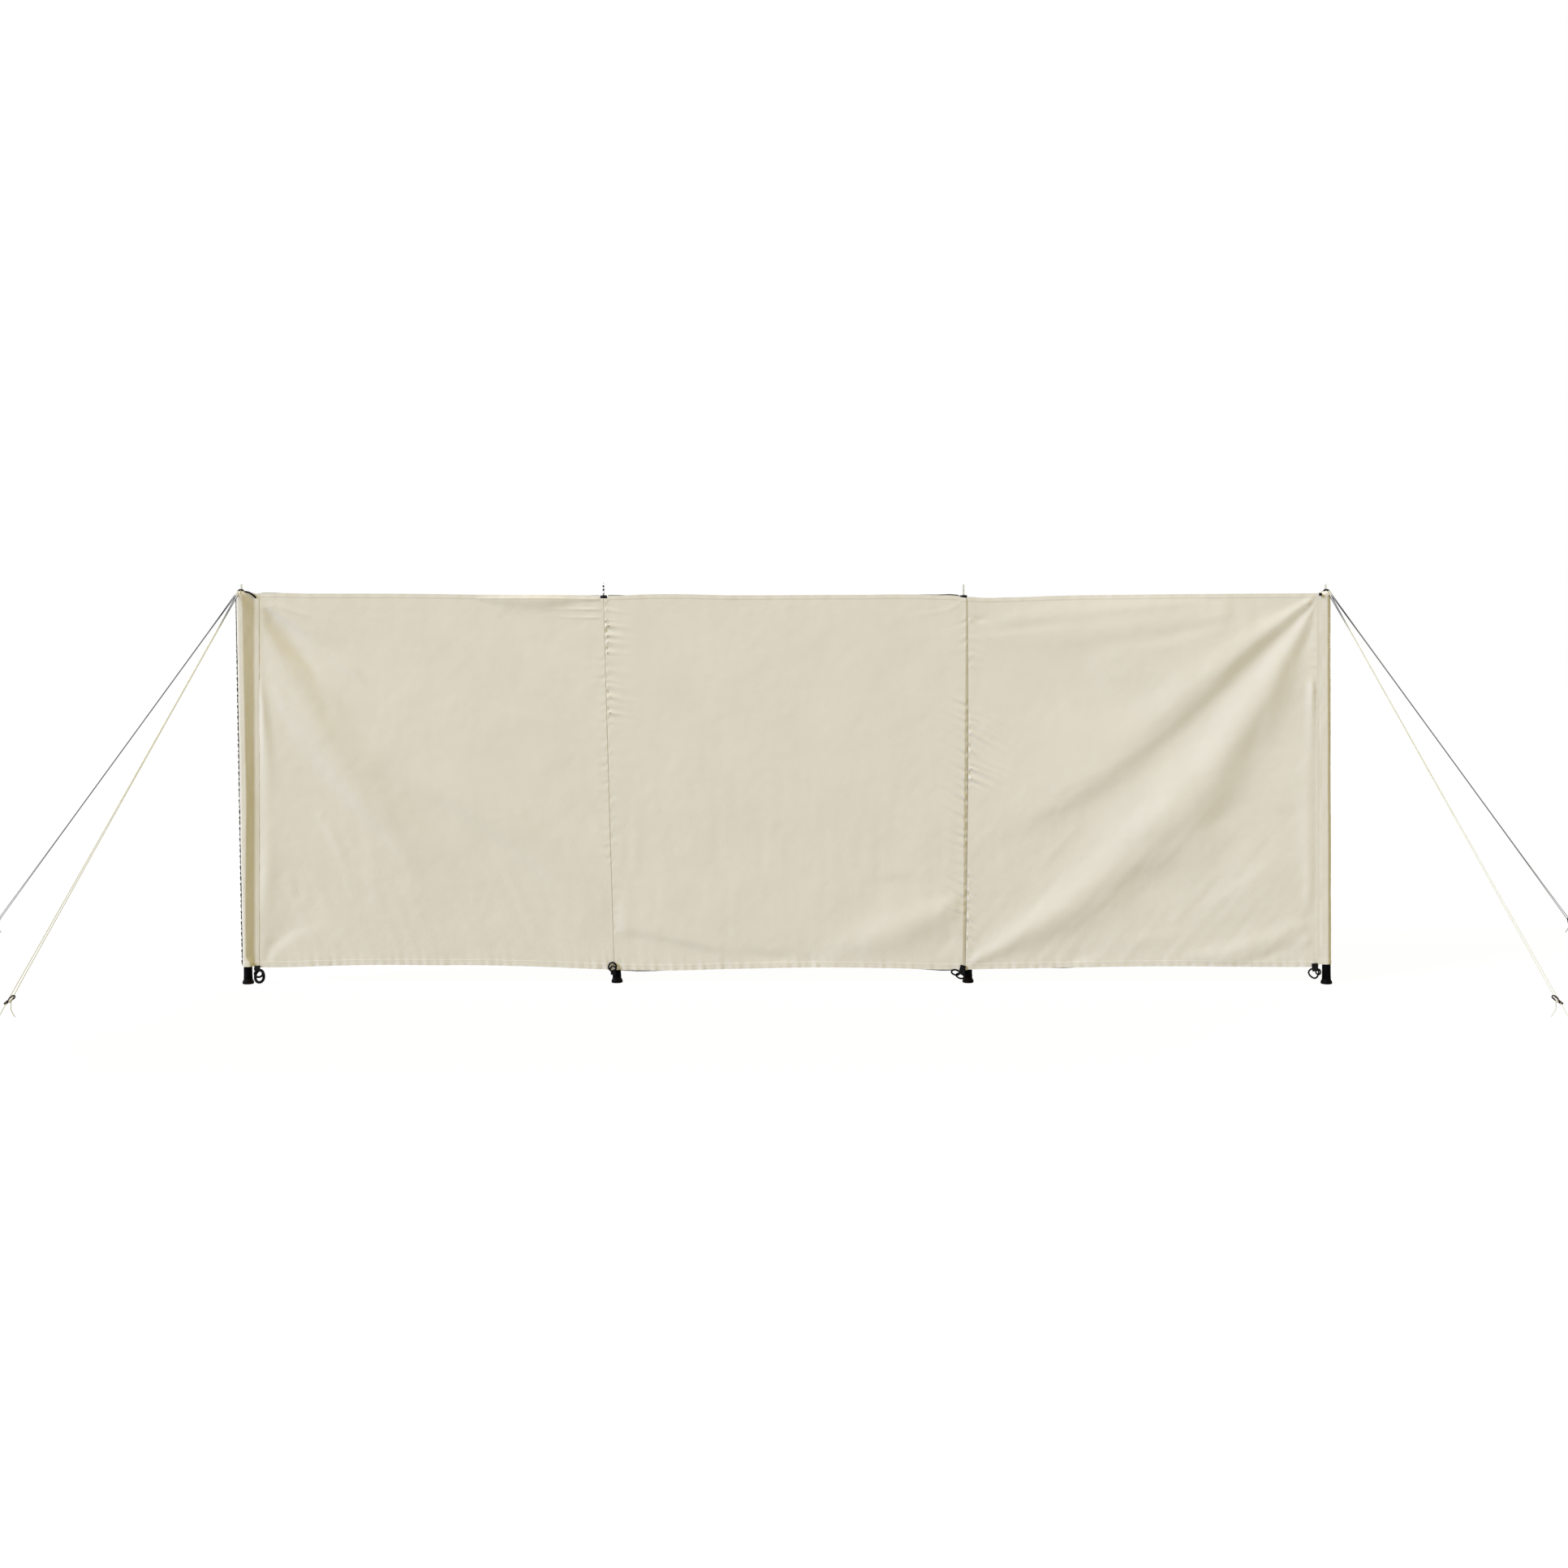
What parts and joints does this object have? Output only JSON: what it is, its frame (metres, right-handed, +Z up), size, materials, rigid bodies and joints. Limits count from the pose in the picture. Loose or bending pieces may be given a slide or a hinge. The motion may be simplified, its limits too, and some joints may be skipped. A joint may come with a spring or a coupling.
{
  "type": "beach windbreak",
  "caption": "Long cream cloth screen in bays, carried on upright poles in sewn sleeves, with spikes on top, rubber feet, peg loops and guy ropes at both ends.",
  "frame": {"origin": "centre of the underside of the left end pole's foot, on the ground", "axes": "+X along the windbreak towards its right end, +Y to its back, +Z up"},
  "size_m": [6.7149, 1.9026, 1.522],
  "materials": {
    "cloth": "plain woven cream polyester",
    "pole_steel": "galvanised tube",
    "bright_steel": "polished",
    "black_rubber": "matt moulded",
    "black_plastic": "satin moulded",
    "brown_plastic": "satin moulded",
    "black_webbing": "woven tape",
    "black_elastic": "braided elastic",
    "pale_rope": "laid cord",
    "grey_rope": "laid cord"
  },
  "bodies": {
    "root": {"left_end_pole": "pole_steel", "left_end_foot": "black_rubber", "left_end_cap": "black_plastic", "left_end_spike": "bright_steel", "left_end_sleeve": "cloth", "left_end_peg_tab": "black_webbing", "left_end_peg_loops": "black_elastic", "left_mid_pole": "pole_steel", "left_mid_foot": "black_rubber", "left_mid_cap": "black_plastic", "left_mid_spike": "bright_steel", "left_mid_sleeve": "cloth", "left_mid_peg_tab": "black_webbing", "left_mid_peg_loops": "black_elastic", "right_mid_pole": "pole_steel", "right_mid_foot": "black_rubber", "right_mid_cap": "black_plastic", "right_mid_spike": "bright_steel", "right_mid_sleeve": "cloth", "right_mid_peg_tab": "black_webbing", "right_mid_peg_loops": "black_elastic", "right_end_pole": "pole_steel", "right_end_foot": "black_rubber", "right_end_cap": "black_plastic", "right_end_spike": "bright_steel", "right_end_sleeve": "cloth", "right_end_peg_tab": "black_webbing", "right_end_peg_loops": "black_elastic", "left_end_strap": "black_webbing", "right_end_strap": "black_webbing", "left_panel": "cloth", "middle_panel": "cloth", "right_panel": "cloth", "top_tape": "black_webbing", "bottom_tape": "black_webbing", "left_front_rope": "pale_rope", "left_front_runner": "brown_plastic", "left_front_peg": "black_plastic", "left_back_rope": "grey_rope", "left_back_runner": "brown_plastic", "left_back_peg": "black_plastic", "right_front_rope": "pale_rope", "right_front_runner": "brown_plastic", "right_front_peg": "black_plastic", "right_back_rope": "grey_rope", "right_back_runner": "brown_plastic", "right_back_peg": "black_plastic"}
  },
  "joints": []
}
